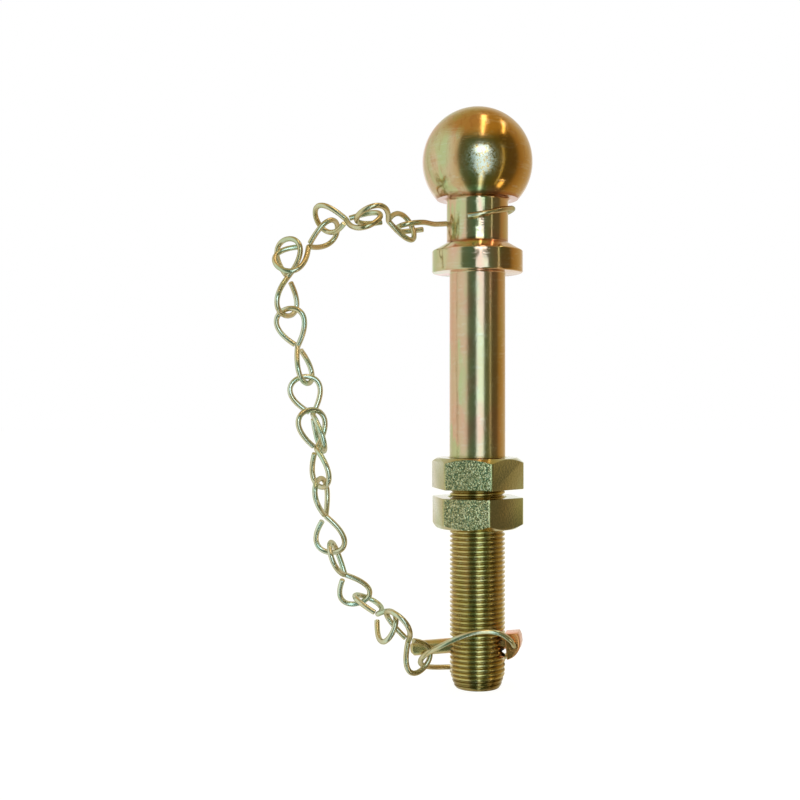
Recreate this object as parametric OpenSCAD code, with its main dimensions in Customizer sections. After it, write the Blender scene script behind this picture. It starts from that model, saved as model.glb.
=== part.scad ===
// Bolt-on tow ball with two jam nuts, and a linch pin kept on a wire chain.
// Frame: Z up along the pin, X to the right, Y away from the viewer.
// The origin is the centre of the collar's underside, which seats on the drawbar.

/* [Ball] */
// Diameter of the ball that the trailer coupling closes on
ball_d = 50; // [49:0.1:50.8]
// Height of the ball's centre above the collar's underside
ball_z = 50.4; // [49:0.1:53]
// Depth of the ball's flat underside below its centre
ball_flat = 18; // [17:0.1:19.5]

/* [Neck and collar] */
// Diameter of the neck between ball and collar
neck_d = 28; // [26:0.5:28.5]
// Radius of the fillet between neck and ball
neck_fillet = 1.2; // [0.5:0.1:2]
// Diameter of the collar
collar_d = 41.3; // [38:0.1:44]
// Height of the collar's straight band
collar_band = 10; // [7:0.5:11]
// Height of the sloping shoulder from the band up to the neck
collar_slope = 3.8; // [3:0.1:5]
// Chamfer of the collar's lower edge
collar_chamfer = 0.8; // [0.4:0.1:1.5]

/* [Shank and thread] */
// Diameter of the plain shank
shank_d = 25.4; // [25.2:0.1:25.4]
// Major diameter of the thread
thread_d = 25.1; // [24.8:0.1:25.1]
// Depth below the collar at which the thread starts
thread_from = 83.7; // [82:0.1:83.7]
// Overall length of shank and thread
shank_length = 188; // [187:0.5:192]
// Length of the tapered tip
tip_length = 6.7; // [4:0.1:8]
// Diameter of the tip's flat end
tip_d = 20.8; // [19:0.1:22]
// Diameter of the cross hole for the linch pin
cross_hole_d = 11; // [10.8:0.1:11.5]

/* [Nuts] */
// Width of a nut across its flats
nut_flats = 37.3; // [36.8:0.1:38.1]
// Height of a nut
nut_height = 14; // [12:0.1:14]
// Gap left between the two nuts
nut_gap = 3.8; // [3:0.1:5]
// Diameter of the flat inside a nut's chamfered face
nut_face_d = 36.4; // [35:0.1:36.6]
// Turn of the upper nut's corner from the viewer's side
upper_nut_turn = 13.5; // [0:0.5:59]
// Turn of the lower nut's corner from the viewer's side
lower_nut_turn = 11; // [0:0.5:59]

/* [Linch pin] */
// Diameter of the pin
pin_d = 6.8; // [6.5:0.1:7.4]
// Length of the pin on the tip's side of the shank's axis
pin_reach = 31; // [28:0.5:33]
// Chamfer of the pin's tip
pin_chamfer = 1.4; // [0.5:0.1:2]
// Turn of the pin about the shank's axis, its head towards the viewer
pin_yaw = 12; // [10:0.5:13]
// Rise of the pin towards its head, as it lies loose in its hole
pin_rise = 6.7; // [6:0.1:7]
// Distance from the shank's axis to the head
head_from = 13.4; // [13.4:0.1:14]
// Length of the head along the pin
head_length = 6.7; // [6.5:0.1:6.8]
// Width of the head across the pin
head_width = 11; // [9:0.5:11]
// Height of the head's flat top above the pin's axis
head_top = 4; // [3.5:0.1:5]
// Radius of the head's rounded outer end
head_round = 8; // [7.8:0.1:8.2]
// Diameter of the drilling that holds the ring's ends
ring_hole_d = 3; // [2.9:0.1:3.1]

/* [Wire and chain] */
// Diameter of the wire of hook, links and ring
wire_d = 2.5; // [1.8:0.1:2.5]
// Distance from a link's waist to its loop's far end, along the wire's centre
loop_length = 18; // [17.8:0.1:18.1]
// Half the width of a loop's flanks, before the far end rounds them
loop_flank = 9.6; // [9.5:0.1:9.7]
// Angle at which a loop's open end stops short of the waist
loop_open = 28; // [24:1:50]

/* [Hidden] */

$fn = 96;
turned_steel = "#b8a56a";
nut_steel = "#8f9068";
wire_steel = "#c3bf94";
head_steel = "#c58a58";

neck_top = ball_z - ball_flat;
neck_foot = collar_band + collar_slope;
upper_nut_z = -thread_from - nut_height;
lower_nut_z = upper_nut_z - nut_gap - nut_height;
bore_clearance = 0.2;
bore_r = shank_d / 2 + bore_clearance;
bore_lead = 0.9;
bore_lead_r = bore_r + 1.1;
nut_corner_r = nut_flats / 2 / cos(30);
nut_chamfer_angle = 34;
cross_hole_z = -168.3;
ring_hole_along = 17.3;
ring_hole_drop = 1.4;
head_round_back = 1.2;
head_round_up = 0.4;
head_foot = 9;
// Length by which a piece runs into the one it joins, or past the one it cuts
overlap = 1;
tube_sides = 10;
// Points for each stretch of a route, and degrees between a loop's points
spans = 3;
loop_step = 16;
// Any direction that no wire runs along, from which its first normal is taken
normal_hint = [0.3, 0.5, 0.8];

// Route of the anchor wire, from its cut end in front of the neck, round behind
// the neck and into the eye that holds the chain
hook_route = [
    [-5.2, -15.3, 24], [2, -15.9, 25], [9, -13.2, 26.8], [14.4, -7, 28.5], [16, 0.5, 29.2],
    [13.8, 8.4, 28.8], [7.5, 14.4, 27.6], [-1, 16.2, 26.2], [-9, 14.2, 25], [-14.5, 10, 24],
    [-19.5, 6, 23.3], [-24, 2, 23.5], [-28, -2, 22.8], [-32.5, -3.5, 21.9], [-36, -1, 21],
    [-37, 4, 20.4], [-34.5, 8.5, 20.2], [-29.5, 10, 20.8], [-24.5, 8.5, 21.2]
];

// Route of the ring, from the near side of the head, in front of the thread,
// under the pin's tip and back behind the thread to the far side of the head
ring_route = [
    [16.5, -5.8, -167.8], [15.6, -10.1, -167.6], [13.2, -14.2, -163.8], [7.5, -16.2, -160.4],
    [-1, -16.4, -160.2], [-10, -14.8, -163.2], [-17, -11.8, -167.2], [-22.5, -7.5, -171],
    [-25.6, -2.5, -175], [-25.4, 3, -178.4], [-21.5, 9, -181], [-13, 14.2, -182.2],
    [-3, 16.4, -182.2], [8, 15.4, -180.2], [15.5, 10.6, -175.2], [18.7, 5.4, -169.6],
    [17.9, 1.4, -167.8], [17.3, -1.4, -167.8]
];

// One row for each link, from the neck down: where its two loops end, upper end
// first, and its turn about that line from lying with the upper loop in full view
link_ends = [
    [[-30, 6, 21], [-51, -19, 25], -35],
    [[-45, -14, 22], [-74, 7, 26], -50],
    [[-65, 8, 22], [-89, -4, 3], 60],
    [[-86, 3, 17], [-87, 2, -20], -35],
    [[-87, 2, -16], [-77, 4, -50], -20],
    [[-80, 2, -48], [-70, -1, -80], 15],
    [[-76, -5, -62], [-70, -5, -97], 35],
    [[-72, -4, -93], [-66, 4, -128], 70],
    [[-67, -2, -124], [-54, 14, -152], 80],
    [[-52, 17, -150], [-39, -12, -161], 75],
    [[-38, -18, -152], [-25, -3, -178], -60]
];

// Wire shapes: a centreline is a list of points, and a tube follows it

function unit(v) = v / norm(v);

// One point between b and c of a smooth curve through a, b, c and d
function between(a, b, c, d, t) =
    0.5 * (2 * b + (c - a) * t + (2 * a - 5 * b + 4 * c - d) * t * t
        + (3 * b - a - 3 * c + d) * t * t * t);

// A smooth centreline through all points of a route
function curve(route) = let (last = len(route) - 1) [
    for (i = [0 : last - 1]) let (
        a = i == 0 ? 2 * route[0] - route[1] : route[i - 1],
        d = i == last - 1 ? 2 * route[last] - route[last - 1] : route[i + 2]
    ) for (k = [0 : spans - 1]) between(a, route[i], route[i + 1], d, k / spans),
    route[last]
];

// Each inner point moved towards its neighbours, which rounds a sharp bend
function softened(path) = [
    for (i = [0 : len(path) - 1])
        i == 0 || i == len(path) - 1
            ? path[i] : (path[i - 1] + 2 * path[i] + path[i + 1]) / 4
];

// Across and along coordinates of a pear-shaped loop that starts at the waist
function loop_across(u) = 2 * loop_flank * pow(sin(u / 2), 2) * cos(u / 2);
function loop_along(u) = loop_length * pow(sin(u / 2), 2);

// Centreline of a link: one loop upwards in the XZ plane, one downwards in YZ
function link_path() = softened(softened([
    for (u = [360 - loop_open : -loop_step : 1]) [loop_across(u), 0, loop_along(u)],
    [0, 0, 0],
    for (u = [loop_step : loop_step : 360 - loop_open]) [0, -loop_across(u), -loop_along(u)]
]));

function tangents(path) = [
    for (i = [0 : len(path) - 1])
        unit(path[min(i + 1, len(path) - 1)] - path[max(i - 1, 0)])
];

// A normal carried along the centreline without twist
function square_to(v, t) = unit(v - (v * t) * t);
function normals(t) = [
    for (i = 0, n = square_to(normal_hint, t[0]); i < len(t);
         i = i + 1, n = square_to(n, t[min(i, len(t) - 1)])) n
];

// Round wire swept along a centreline, with flat cut ends
module wire(path) {
    t = tangents(path);
    n = normals(t);
    points = [
        for (i = [0 : len(path) - 1]) for (s = [0 : tube_sides - 1])
            path[i] + wire_d / 2 * (cos(360 * s / tube_sides) * n[i]
                + sin(360 * s / tube_sides) * cross(t[i], n[i]))
    ];
    last = len(path) - 1;
    faces = concat(
        [[for (s = [0 : tube_sides - 1]) s]],
        [[for (s = [tube_sides - 1 : -1 : 0]) last * tube_sides + s]],
        [for (i = [0 : last - 1]) for (s = [0 : tube_sides - 1]) let (
            next = (s + 1) % tube_sides,
            low = i * tube_sides,
            high = low + tube_sides
        ) [low + s, high + s, high + next, low + next]]
    );
    polyhedron(points, faces, convexity = 6);
}

// Ball, neck, collar, shank and thread in one turned profile

module ball_profile() {
    intersection() {
        translate([0, ball_z])
            circle(ball_d / 2);
        translate([0, neck_top])
            square([ball_d, ball_d]);
    }
}

module fillet_profile() {
    difference() {
        translate([neck_d / 2 - neck_fillet, neck_top - neck_fillet])
            square(2 * neck_fillet);
        translate([neck_d / 2 + neck_fillet, neck_top - neck_fillet])
            circle(neck_fillet);
    }
}

module stem_profile() {
    polygon([
        [0, -shank_length], [tip_d / 2, -shank_length],
        [thread_d / 2, -shank_length + tip_length], [thread_d / 2, -thread_from],
        [shank_d / 2, -thread_from], [shank_d / 2, 0],
        [collar_d / 2 - collar_chamfer, 0], [collar_d / 2, collar_chamfer],
        [collar_d / 2, collar_band], [neck_d / 2, neck_foot],
        [neck_d / 2, neck_top + overlap], [0, neck_top + overlap]
    ]);
}

module ball_pin() {
    color(turned_steel)
        difference() {
            rotate_extrude() {
                ball_profile();
                fillet_profile();
                stem_profile();
            }
            translate([0, 0, cross_hole_z])
                rotate([0, 90, -pin_yaw])
                    cylinder(d = cross_hole_d, h = 2 * shank_d, center = true);
        }
}

// Turned form of a nut: bore, its two leads, and the chamfer of the upper side
module nut_profile() {
    outer_r = nut_corner_r + overlap;
    chamfer_drop = (outer_r - nut_face_d / 2) * tan(nut_chamfer_angle);
    polygon([
        [bore_lead_r, 0], [outer_r, 0], [outer_r, nut_height - chamfer_drop],
        [nut_face_d / 2, nut_height], [bore_lead_r, nut_height],
        [bore_r, nut_height - bore_lead], [bore_r, bore_lead]
    ]);
}

// Hexagon nut with its corner at the given turn
module nut(turn) {
    intersection() {
        rotate_extrude()
            nut_profile();
        rotate([0, 0, turn - 90])
            translate([0, 0, -overlap])
                cylinder(r = nut_corner_r, h = nut_height + 2 * overlap, $fn = 6);
    }
}

module upper_nut() {
    color(nut_steel)
        translate([0, 0, upper_nut_z])
            nut(upper_nut_turn);
}

module lower_nut() {
    color(nut_steel)
        translate([0, 0, lower_nut_z + nut_height])
            mirror([0, 0, 1])
                nut(lower_nut_turn);
}

// The pin is drawn along X about its own axis, its head at the positive end

module place_pin() {
    translate([0, 0, cross_hole_z])
        rotate([0, -pin_rise, -pin_yaw])
            children();
}

module head_side() {
    intersection() {
        translate([head_from, -head_foot])
            square([head_length, head_foot + head_top]);
        translate([head_from - head_round_back, head_round_up])
            circle(head_round);
    }
}

module pin_head() {
    difference() {
        rotate([90, 0, 0])
            linear_extrude(height = head_width, center = true)
                head_side();
        translate([ring_hole_along, 0, -ring_hole_drop])
            rotate([90, 0, 0])
                cylinder(d = ring_hole_d, h = 2 * head_width, center = true);
    }
}

module linch_pin() {
    color(head_steel)
        place_pin()
            union() {
                rotate([0, 90, 0])
                    translate([0, 0, -pin_reach + pin_chamfer])
                        cylinder(d = pin_d, h = pin_reach - pin_chamfer + head_from + overlap);
                rotate([0, 90, 0])
                    translate([0, 0, -pin_reach])
                        cylinder(d1 = pin_d - 2 * pin_chamfer, d2 = pin_d, h = pin_chamfer);
                pin_head();
            }
}

module linch_ring() {
    color(wire_steel)
        wire(curve(ring_route));
}

module neck_hook() {
    color(wire_steel)
        wire(curve(hook_route));
}

// One link of the chain, counted from the neck, halfway between its two ends
module chain_link(number) {
    ends = link_ends[number - 1];
    along = unit(ends[0] - ends[1]);
    across = unit(cross([0, 1, 0], along));
    upper_side = cos(ends[2]) * across + sin(ends[2]) * cross(along, across);
    lower_side = cross(along, upper_side);
    color(wire_steel)
        wire([
            for (p = link_path())
                (ends[0] + ends[1]) / 2 + p[0] * upper_side + p[1] * lower_side + p[2] * along
        ]);
}

ball_pin();
upper_nut();
lower_nut();
linch_pin();
linch_ring();
neck_hook();
chain_link(1);  // chain_link_01
chain_link(2);  // chain_link_02
chain_link(3);  // chain_link_03
chain_link(4);  // chain_link_04
chain_link(5);  // chain_link_05
chain_link(6);  // chain_link_06
chain_link(7);  // chain_link_07
chain_link(8);  // chain_link_08
chain_link(9);  // chain_link_09
chain_link(10);  // chain_link_10
chain_link(11);  // chain_link_11
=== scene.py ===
"""Tow ball with two jam nuts, and a linch pin kept on a wire chain.

Sizes of the pieces are in millimetres and become metres when a piece is made. Z runs
up along the shank, -Y towards the viewer, and z = 0 is the collar's underside.
"""

import logging
import math
from dataclasses import dataclass
from enum import Enum
from typing import Iterable, Sequence

import bmesh
import bpy
from mathutils import Matrix, Vector


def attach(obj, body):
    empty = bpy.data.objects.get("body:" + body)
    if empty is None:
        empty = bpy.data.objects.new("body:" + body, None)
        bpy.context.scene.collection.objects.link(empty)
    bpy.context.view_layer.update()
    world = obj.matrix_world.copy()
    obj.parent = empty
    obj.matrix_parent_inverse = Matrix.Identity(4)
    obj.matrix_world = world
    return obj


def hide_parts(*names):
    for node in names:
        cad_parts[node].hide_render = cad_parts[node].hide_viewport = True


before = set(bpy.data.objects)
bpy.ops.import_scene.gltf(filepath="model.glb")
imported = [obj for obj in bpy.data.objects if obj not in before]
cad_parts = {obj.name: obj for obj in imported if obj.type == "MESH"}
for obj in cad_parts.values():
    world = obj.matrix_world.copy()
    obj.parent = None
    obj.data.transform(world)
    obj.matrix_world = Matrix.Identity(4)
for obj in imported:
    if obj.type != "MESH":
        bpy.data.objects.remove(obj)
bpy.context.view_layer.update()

LOG = logging.getLogger("tow_ball")
MM = 0.001
IMAGE_SIDE = 800
WELD = 1e-4
SMOOTH_ANGLE = math.radians(32)
MIDDLE = 0.5
EVEN = (1, 1, 1)

# Sockets of a Mix node that mix colours: the share, the two colours and the result
MIX_INPUTS = (0, 6, 7)
MIX_OUTPUT = 2

Colour = tuple[float, float, float]
Triple = tuple[float, float, float]
Point2 = tuple[float, float]
Range = tuple[float, float]
Slope = tuple[float, ...]
Piece = bpy.types.Object
Mesh = bmesh.types.BMesh
Material = bpy.types.Material
Tree = bpy.types.NodeTree
Node = bpy.types.Node
Socket = bpy.types.NodeSocket


def screen(red: int, green: int, blue: int) -> Colour:
    """Scene-linear colour of a screen colour given from 0 to 255.

    Args:
        red: Screen value of red.
        green: Screen value of green.
        blue: Screen value of blue.

    Returns:
        The three linear values.
    """
    def linear(value: int) -> float:
        """Linear value of one channel."""
        share = value / 255
        return share / 12.92 if share <= 0.04045 else ((share + 0.055) / 1.055) ** 2.4
    return (linear(red), linear(green), linear(blue))


class Body(Enum):
    """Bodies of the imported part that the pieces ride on."""

    ROOT = "root"
    UPPER_NUT = "upper_nut"
    LOWER_NUT = "lower_nut"
    RING = "ring"
    CHAIN_UPPER = "chain_upper"
    CHAIN_MIDDLE = "chain_middle"
    CHAIN_LOWER = "chain_lower"


class Slot(Enum):
    """Names of the material slots."""

    TURNED_PIN = "turned_pin"
    FORGED_NUT = "forged_nut"
    LINCH_PIN = "linch_pin"
    BENT_WIRE = "bent_wire"


class Cut(Enum):
    """Ways of combining two closed solids."""

    UNION = "UNION"
    DIFFERENCE = "DIFFERENCE"
    INTERSECT = "INTERSECT"


class Kind(Enum):
    """Kinds of a shader group's sockets."""

    COLOUR = "NodeSocketColor"
    VALUE = "NodeSocketFloat"
    VECTOR = "NodeSocketVector"


# Mesh helpers


def arc(centre: Point2, radius: float, start: float, end: float, segments: int) -> list[Point2]:
    """Points along an arc.

    Args:
        centre: Centre of the arc.
        radius: Its radius.
        start: First angle in degrees.
        end: Last angle in degrees.
        segments: Number of straight steps.

    Returns:
        The points, both ends included.
    """
    angles = [math.radians(start + (end - start) * k / segments) for k in range(segments + 1)]
    return [(centre[0] + radius * math.cos(a), centre[1] + radius * math.sin(a)) for a in angles]


def rounded(corners: Sequence[Triple], segments: int = 5) -> list[Point2]:
    """Outline through corners, each rounded with its own radius.

    Args:
        corners: Two coordinates and a radius for each corner.
        segments: Straight steps in each rounding.

    Returns:
        The points of the outline, whose two ends stay sharp.
    """
    points: list[Point2] = []
    for i, (x, y, radius) in enumerate(corners):
        here = Vector((x, y))
        if radius <= 0 or i in (0, len(corners) - 1):
            points.append((x, y))
            continue
        back = (Vector(corners[i - 1][:2]) - here).normalized()
        ahead = (Vector(corners[i + 1][:2]) - here).normalized()
        half = back.angle(ahead) / 2
        centre = here + (back + ahead).normalized() * radius / math.sin(half)
        spoke = here + back * radius / math.tan(half) - centre
        last = here + ahead * radius / math.tan(half) - centre
        sweep = math.atan2(spoke.x * last.y - spoke.y * last.x, spoke.dot(last))
        for k in range(segments + 1):
            turned = Matrix.Rotation(sweep * k / segments, 2) @ spoke
            points.append((centre.x + turned.x, centre.y + turned.y))
    return points


def lathe(outline: Sequence[Point2], steps: int, closed: bool = False) -> Mesh:
    """Turns an outline of radius and height about the Z axis.

    Args:
        outline: Radius and height of each point, from the top down.
        steps: Faces in one turn.
        closed: True where the outline is a closed loop, as of a ring.

    Returns:
        A closed mesh with its faces outwards.
    """
    bm = bmesh.new()
    verts = [bm.verts.new((radius, 0, height)) for radius, height in outline]
    ends = verts[1:] + verts[:1] if closed else verts[1:]
    edges = [bm.edges.new(pair) for pair in zip(verts, ends)]
    bmesh.ops.spin(
        bm, geom=verts + edges, cent=(0, 0, 0), axis=(0, 0, 1), dvec=(0, 0, 0),
        angle=math.tau, steps=steps, use_merge=True, use_duplicate=False,
    )
    bmesh.ops.remove_doubles(bm, verts=bm.verts[:], dist=WELD)
    bmesh.ops.recalc_face_normals(bm, faces=bm.faces[:])
    return bm


def linked(name: str, data: bpy.types.ID) -> Piece:
    """Makes an object of a mesh, curve, lamp or camera, and puts it in the scene.

    Args:
        name: Its name.
        data: What it is made of.

    Returns:
        The object.
    """
    obj = bpy.data.objects.new(name, data)
    bpy.context.scene.collection.objects.link(obj)
    return obj


def shaped(obj: Piece) -> bpy.types.Mesh:
    """New mesh of a curve, or of a solid with its modifiers."""
    graph = bpy.context.evaluated_depsgraph_get()
    return bpy.data.meshes.new_from_object(obj.evaluated_get(graph))


def solid(bm: Mesh, name: str) -> Piece:
    """Makes an object of a mesh in millimetres.

    Args:
        bm: The mesh, which is used up.
        name: Name of the object.

    Returns:
        The object, its place in its mesh and in metres.
    """
    bmesh.ops.scale(bm, vec=(MM, MM, MM), verts=bm.verts[:])
    mesh = bpy.data.meshes.new(name)
    bm.to_mesh(mesh)
    bm.free()
    return linked(name, mesh)


def drill(diameter: float, depth: float, steps: int, place: Matrix, name: str) -> Piece:
    """Makes a round cutter.

    Args:
        diameter: Its diameter.
        depth: Its whole length.
        steps: Faces round it.
        place: Where it goes, from upright at the origin.
        name: Its name.

    Returns:
        The cutter.
    """
    bm = bmesh.new()
    bmesh.ops.create_cone(bm, cap_ends=True, segments=steps, radius1=diameter / 2,
                          radius2=diameter / 2, depth=depth)
    bmesh.ops.transform(bm, matrix=place, verts=bm.verts[:])
    return solid(bm, name)


def pull(bm: Mesh, way: Triple) -> None:
    """Pulls a flat face out into a closed solid.

    Args:
        bm: The mesh, which is one face.
        way: How far and in which direction.
    """
    swept = bmesh.ops.extrude_face_region(bm, geom=bm.faces[:])
    lifted = [item for item in swept["geom"] if isinstance(item, bmesh.types.BMVert)]
    bmesh.ops.translate(bm, vec=way, verts=lifted)
    bmesh.ops.recalc_face_normals(bm, faces=bm.faces[:])


def combine(target: Piece, tool: Piece, cut: Cut) -> None:
    """Joins, cuts or intersects a closed solid with another, which is used up.

    Args:
        target: The solid that keeps the result.
        tool: The other solid.
        cut: How they are combined.
    """
    modifier = target.modifiers.new("combine", "BOOLEAN")
    modifier.operation = cut.value
    modifier.solver = "EXACT"
    modifier.object = tool
    result = shaped(target)
    target.modifiers.remove(modifier)
    spent, target.data = target.data, result
    bpy.data.meshes.remove(spent)
    mesh = tool.data
    bpy.data.objects.remove(tool)
    bpy.data.meshes.remove(mesh)


def smooth(obj: Piece) -> None:
    """Shades a piece smooth, apart from its sharp edges."""
    obj.data.polygons.foreach_set("use_smooth", [True] * len(obj.data.polygons))
    obj.data.set_sharp_from_angle(angle=SMOOTH_ANGLE)


def bevel_edges(bm: Mesh, edges: Iterable[bmesh.types.BMEdge],
                width: float, segments: int) -> None:
    """Rounds some edges of a mesh.

    Args:
        bm: The mesh.
        edges: The edges to round.
        width: Width of the rounding.
        segments: Faces across it.
    """
    bmesh.ops.bevel(
        bm, geom=list(edges), offset=width, offset_type="OFFSET", segments=segments,
        profile=0.5, affect="EDGES", material=-1, clamp_overlap=True,
    )


# Wire helpers


def smooth_route(route: Sequence[Vector], spans: int) -> list[Vector]:
    """Smooth curve through all points of a route.

    Args:
        route: The points.
        spans: Steps between two points.

    Returns:
        The points of the curve.
    """
    last = len(route) - 1
    path: list[Vector] = []
    for i in range(last):
        b, c = route[i], route[i + 1]
        a = route[i - 1] if i > 0 else 2 * b - c
        d = route[i + 2] if i + 2 <= last else 2 * c - b
        for k in range(spans):
            t = k / spans
            path.append(0.5 * (2 * b + (c - a) * t + (2 * a - 5 * b + 4 * c - d) * t ** 2
                               + (3 * b - a - 3 * c + d) * t ** 3))
    path.append(route[last])
    return path


def softened(path: Sequence[Vector]) -> list[Vector]:
    """A path with each inner point moved towards its neighbours."""
    inner = [(path[i - 1] + 2 * path[i] + path[i + 1]) / 4 for i in range(1, len(path) - 1)]
    return [path[0], *inner, path[-1]]


@dataclass
class WireStock:
    """The drawn wire that hook, links and ring are bent from."""

    diameter: float = 2.46
    trim: float = 0.16
    trimmed_share: float = 0.86
    corners: int = 4

    def bend(self, path: Sequence[Vector], name: str) -> Piece:
        """Bends a piece of wire along a path and trims its two ends.

        Args:
            path: Centreline in millimetres.
            name: Name of the piece.

        Returns:
            The piece as a mesh.
        """
        curve = bpy.data.curves.new(name, "CURVE")
        curve.dimensions = "3D"
        curve.bevel_depth = self.diameter / 2 * MM
        curve.bevel_resolution = self.corners
        curve.use_fill_caps = True
        curve.twist_mode = "MINIMUM"
        first = path[0] + (path[1] - path[0]).normalized() * self.trim
        last = path[-1] + (path[-2] - path[-1]).normalized() * self.trim
        points = [path[0], first, *path[1:-1], last, path[-1]]
        spline = curve.splines.new("POLY")
        spline.points.add(len(points) - 1)
        for target, point in zip(spline.points, points):
            target.co = (*(point * MM), 1)
        spline.points[0].radius = self.trimmed_share
        spline.points[-1].radius = self.trimmed_share
        pattern = linked(name + "_pattern", curve)
        mesh = shaped(pattern)
        bpy.data.objects.remove(pattern)
        bpy.data.curves.remove(curve)
        mesh.name = name
        bm = bmesh.new()
        bm.from_mesh(mesh)
        bmesh.ops.remove_doubles(bm, verts=bm.verts[:], dist=WELD * MM)
        bmesh.ops.recalc_face_normals(bm, faces=bm.faces[:])
        bm.to_mesh(mesh)
        bm.free()
        return linked(name, mesh)


# Shader helpers


class Wiring:
    """Adds nodes to one shader tree and joins their sockets."""

    def __init__(self, tree: Tree) -> None:
        """Keeps the tree and empties it."""
        self.tree = tree
        tree.nodes.clear()

    def node(self, kind: str, **settings: object) -> Node:
        """Adds a node.

        Args:
            kind: Its kind.
            settings: Its settings by their names.

        Returns:
            The node.
        """
        made = self.tree.nodes.new(kind)
        for name, value in settings.items():
            setattr(made, name, value)
        return made

    def feed(self, socket: Socket, value: object) -> None:
        """Joins a socket to another, or sets its value.

        Args:
            socket: The socket that is fed.
            value: Another socket, or a number, a vector or a colour.
        """
        if isinstance(value, Socket):
            self.tree.links.new(value, socket)
        elif socket.type == "RGBA":
            socket.default_value = (*value, 1)
        else:
            socket.default_value = value

    def fill(self, made: Node, **values: object) -> Node:
        """Feeds inputs of a node by their names.

        Args:
            made: The node.
            values: What feeds each input, whose name has _ for a space.

        Returns:
            The node.
        """
        for name, value in values.items():
            self.feed(made.inputs[name.replace("_", " ")], value)
        return made

    def result(self, made: Node, *values: object) -> Socket:
        """Feeds the first inputs of a node in turn.

        Args:
            made: The node.
            values: What feeds each input.

        Returns:
            The node's first output.
        """
        for socket, value in zip(made.inputs, values):
            self.feed(socket, value)
        return made.outputs[0]

    def math(self, operation: str, *values: object, clamp: bool = False) -> Socket:
        """Result of an operation on numbers."""
        made = self.node("ShaderNodeMath", operation=operation, use_clamp=clamp)
        return self.result(made, *values)

    def plus(self, first: object, second: object) -> Socket:
        """Sum of two values."""
        return self.math("ADD", first, second)

    def minus(self, first: object, second: object) -> Socket:
        """Difference of two values."""
        return self.math("SUBTRACT", first, second)

    def times(self, first: object, second: object) -> Socket:
        """Product of two values."""
        return self.math("MULTIPLY", first, second)

    def larger(self, first: object, second: object) -> Socket:
        """The larger of two values."""
        return self.math("MAXIMUM", first, second)

    def ridge(self, value: object, width: object) -> Socket:
        """Goes from one where the value is nought to nought where it is the width."""
        share = self.math("DIVIDE", self.math("ABSOLUTE", value), width)
        return self.math("SUBTRACT", 1.0, share, clamp=True)

    def step(self, value: object, low: float, high: float, first: float = 0.0,
             last: float = 1.0) -> Socket:
        """Goes smoothly from first to last as the value goes from low to high."""
        made = self.node("ShaderNodeMapRange", interpolation_type="SMOOTHSTEP")
        return self.result(made, value, low, high, first, last)

    def blend(self, share: object, first: object, second: object) -> Socket:
        """Mixes two colours.

        Args:
            share: Share of the second colour.
            first: The first colour.
            second: The second colour.

        Returns:
            The mixed colour.
        """
        made = self.node("ShaderNodeMix", data_type="RGBA")
        for number, value in zip(MIX_INPUTS, (share, first, second)):
            self.feed(made.inputs[number], value)
        return made.outputs[MIX_OUTPUT]

    def noise(self, vector: object, scale: object, detail: float = 2.0, roughness: float = 0.5,
              distortion: float = 0.0) -> Socket:
        """Factor of a noise texture."""
        return self.fill(self.node("ShaderNodeTexNoise"), Vector=vector, Scale=scale, Detail=detail,
                         Roughness=roughness, Distortion=distortion).outputs[0]

    def stretch(self, vector: object, scale: Sequence[float], turn: Sequence[float] = (0, 0, 0),
                shift: Sequence[float] = (0, 0, 0)) -> Socket:
        """Coordinates moved, turned and scaled."""
        return self.fill(self.node("ShaderNodeMapping"), Vector=vector, Location=shift,
                         Rotation=turn, Scale=scale).outputs[0]

    def parts(self, vector: object) -> tuple[Socket, ...]:
        """The three coordinates of a vector."""
        return tuple(self.fill(self.node("ShaderNodeSeparateXYZ"), Vector=vector).outputs)

    def radius(self, x: Socket, y: Socket) -> Socket:
        """Distance from the axis."""
        return self.math("SQRT", self.plus(self.times(x, x), self.times(y, y)))

    def azimuth(self, x: Socket, y: Socket) -> Socket:
        """Angle round the axis from the viewer's side, more to the right."""
        return self.math("ARCTAN2", x, self.times(y, -1.0))

    def bump(self, height: object, strength: float, depth: float) -> Socket:
        """Normal bent by a height."""
        made = self.node("ShaderNodeBump")
        return self.fill(made, Strength=strength, Distance=depth, Height=height).outputs[0]

    def group(self, tree: Tree, **values: object) -> Node:
        """Places a group and feeds its inputs by their names."""
        return self.fill(self.node("ShaderNodeGroup", node_tree=tree), **values)


def group_tree(name: str, inputs: dict[str, Kind], outputs: dict[str, Kind]
               ) -> tuple[Wiring, bpy.types.NodeOutputs, Node]:
    """Starts a shader group.

    Args:
        name: Name of the group.
        inputs: Kind of each input by its name.
        outputs: Kind of each output by its name.

    Returns:
        The group's wiring, the sockets of its inputs and its output node.
    """
    tree = bpy.data.node_groups.new(name, "ShaderNodeTree")
    for side, sockets in (("INPUT", inputs), ("OUTPUT", outputs)):
        for label, kind in sockets.items():
            tree.interface.new_socket(name=label, in_out=side, socket_type=kind.value)
    net = Wiring(tree)
    return net, net.node("NodeGroupInput").outputs, net.node("NodeGroupOutput")


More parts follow.
